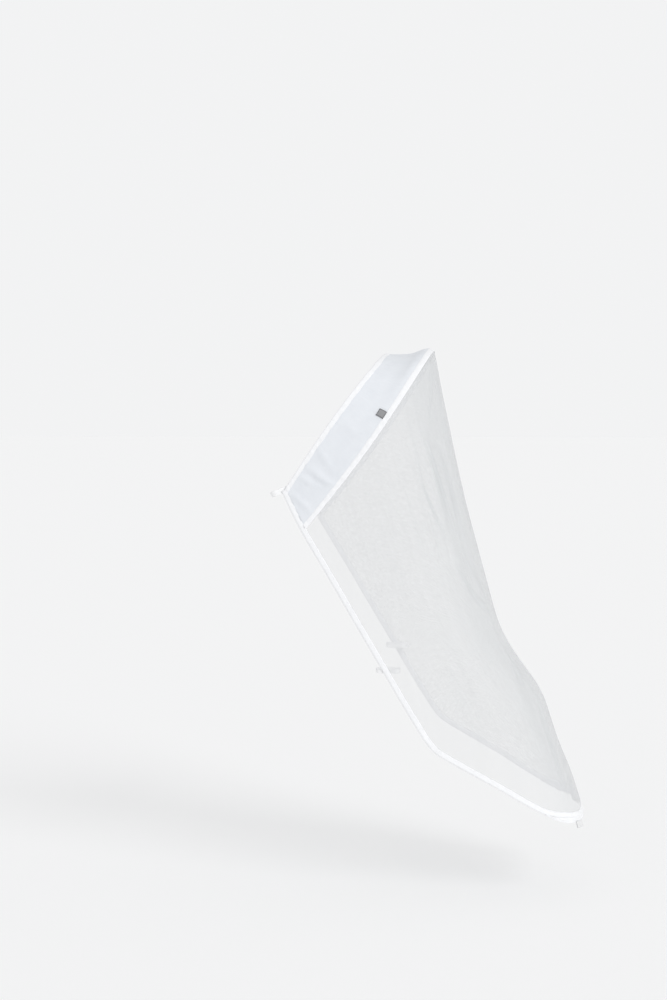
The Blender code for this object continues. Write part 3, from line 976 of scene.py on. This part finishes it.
def build_loops(elastic):
    """Elastic loops of both sides, ribbed on their outer face."""
    pieces = {name: [] for name, *_ in LOOPS}
    ribs = ELASTIC_RIB_HEIGHT * np.cos(np.linspace(0, 2 * pi * ELASTIC_RIBS, LOOP_ROWS))
    ribs = np.tile(ribs[:, None], (1, LOOP_STEPS))
    for side_name, side in SIDES:
        for name, x, y, z, length, depth, width, slope in LOOPS:
            rows = loop_rows((x, y, z), length, depth, width, radians(slope))
            rows = rows if side > 0 else mirrored(rows)
            full_name = f"{name}_{side_name}"
            piece = slab(f"{full_name}_tape", rows, ELASTIC_THICKNESS, elastic, closed=True, relief=ribs)
            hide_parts(full_name)
            pieces[name].append(piece)
    return pieces


def build_tabs(lines, elastic):
    """Short tabs of elastic, folded over and caught in the hem."""
    hem = lines["hem"]
    run = lengths_along(hem)
    middle = run[int(np.argmin(np.abs(hem[:, 0] - TAB_AT_X)))]
    shares = (middle + TAB_LENGTH * np.linspace(-0.5, 0.5, TAB_STEPS)) / run[-1]
    places, into, half = hem_stations(hem, lines["square"], shares)
    tangent = unit(np.gradient(places, axis=0))
    out = unit(np.cross(tangent, into))
    out *= np.sign(out[:, :1])

    # Section of a tab: down its outer layer, round the fold and up the inner layer
    gap = TAB_HALF_GAP
    turn_at = TAB_DROP - 2 * gap
    path = [(-TAB_LAP, gap), (turn_at, gap)]
    path += [(turn_at + gap * sin(a), gap * cos(a)) for a in np.linspace(0, pi, 9)[1:-1]]
    path += [(turn_at, -gap), (-TAB_LAP, -gap)]
    path = along(np.array([(down, aside, 0.0) for down, aside in path]), np.linspace(0, 1, TAB_ROWS))
    frayed = TAB_FRAY * np.sin(np.linspace(0, 9, TAB_STEPS))[:, None]
    rows = []
    for down, aside, _ in path:
        reach = half + GAP + down + frayed * max(down, 0) / TAB_DROP
        rows.append(places - into * reach + out * aside)
    rows = np.array(rows)

    pieces = []
    for side_name, side in SIDES:
        placed = rows if side > 0 else mirrored(rows)
        piece = slab(f"front_tab_{side_name}_tape", placed, TAB_LAYER, elastic, roundness=6.0)
        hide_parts(f"front_tab_{side_name}")
        pieces.append(piece)
    return pieces


def build_label(lines, material, sewing):
    """A small woven square that lies on the band, sewn down at its edge away from the seam."""
    front = lines["front"]
    run = lengths_along(front)
    middle = run[int(np.argmin(np.abs(front[:, 2] - LABEL_SEAM_Z)))]
    shares = (middle + LABEL_ALONG * np.linspace(-0.5, 0.5, LABEL_STEPS)) / run[-1]
    inset = TAPE_WIDTH - LABEL_LAP
    distances = np.linspace(0, LABEL_ACROSS, LABEL_STEPS)
    reaches = [(1, -inset - LABEL_ACROSS + distance) for distance in distances]
    rows = band_rows(along(lines["rear"], shares), along(front, shares), reaches)
    rows = rows + outward_normals(rows) * ((BAND_THICKNESS + LABEL_THICKNESS) / 2 + GAP)
    piece = slab("woven_label", rows, LABEL_THICKNESS, material, roundness=5.0)
    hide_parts("label")
    sewn_row = 2
    out = outward_normals(rows)[sewn_row]
    stitches = thread("label_stitches", rows[sewn_row] + out * LABEL_THICKNESS * 0.5, out, sewing)
    return [piece, stitches]


def build_floor():
    corners = ((-1, -1), (1, -1), (1, 1), (-1, 1))
    points = [(x * FLOOR_REACH, y * FLOOR_REACH, FLOOR_Z) for x, y in corners]
    mesh = bpy.data.meshes.new("floor")
    mesh.from_pydata(points, [], [(0, 1, 2, 3)])
    floor = bpy.data.objects.new("floor", mesh)
    bpy.context.scene.collection.objects.link(floor)
    pale = bpy.data.materials.new("pale_floor")
    pale.use_nodes = True
    shader = pale.node_tree.nodes["Principled BSDF"]
    shader.inputs["Base Color"].default_value = FLOOR_COLOUR
    shader.inputs["Roughness"].default_value = 0.9
    shader.inputs["Specular IOR Level"].default_value = 0.0
    mesh.materials.append(pale)


def build_lights():
    """A soft sun under a sky that is brightest low down."""
    world = bpy.data.worlds.new("studio")
    world.use_nodes = True
    tree = world.node_tree
    sky = tree.nodes["Background"]
    sky.inputs["Color"].default_value = SKY_COLOUR
    place = tree.nodes.new("ShaderNodeTexCoord")
    split = tree.nodes.new("ShaderNodeSeparateXYZ")
    tree.links.new(place.outputs["Generated"], split.inputs[0])
    strength = ranged(tree, split.outputs["Z"], 0.3, 1.0, SKY_LOW, SKY_OVERHEAD)
    tree.links.new(strength, sky.inputs["Strength"])
    bpy.context.scene.world = world

    light = bpy.data.lights.new("key", "SUN")
    light.energy = SUN_STRENGTH
    light.angle = radians(SUN_WIDTH)
    key = bpy.data.objects.new("key", light)
    key.rotation_euler = (radians(SUN_TILT), 0.0, radians(SUN_TURN))
    bpy.context.scene.collection.objects.link(key)

    bpy.context.scene.view_settings.view_transform = "Standard"
    bpy.context.scene.view_settings.look = "None"


def build_camera():
    """The camera at the photo's angle."""
    camera_data = bpy.data.cameras.new("camera")
    camera_data.sensor_fit = "VERTICAL"
    camera_data.sensor_width = SENSOR
    camera_data.sensor_height = SENSOR
    camera_data.lens = LENS
    camera = bpy.data.objects.new("camera", camera_data)
    camera.location = CAMERA_AT
    camera.rotation_euler = (radians(90 - CAMERA_DOWN), 0.0, radians(CAMERA_LEFT))
    bpy.context.scene.collection.objects.link(camera)
    bpy.context.scene.camera = camera


def build_object():
    lines = layout()
    tape, elastic, shaded_tab_elastic, sewing = [ribbed_material(*columns) for columns in RIBBED]
    net = build_net(lines, net_material())
    band, band_trim = build_band(lines, band_material(), tape, sewing)
    net_trim = build_hem(lines, tape, sewing)
    loops = build_loops(elastic)
    tabs = build_tabs(lines, shaded_tab_elastic)
    label = build_label(lines, label_material(), sewing)


build_object()
build_camera()
build_floor()
build_lights()
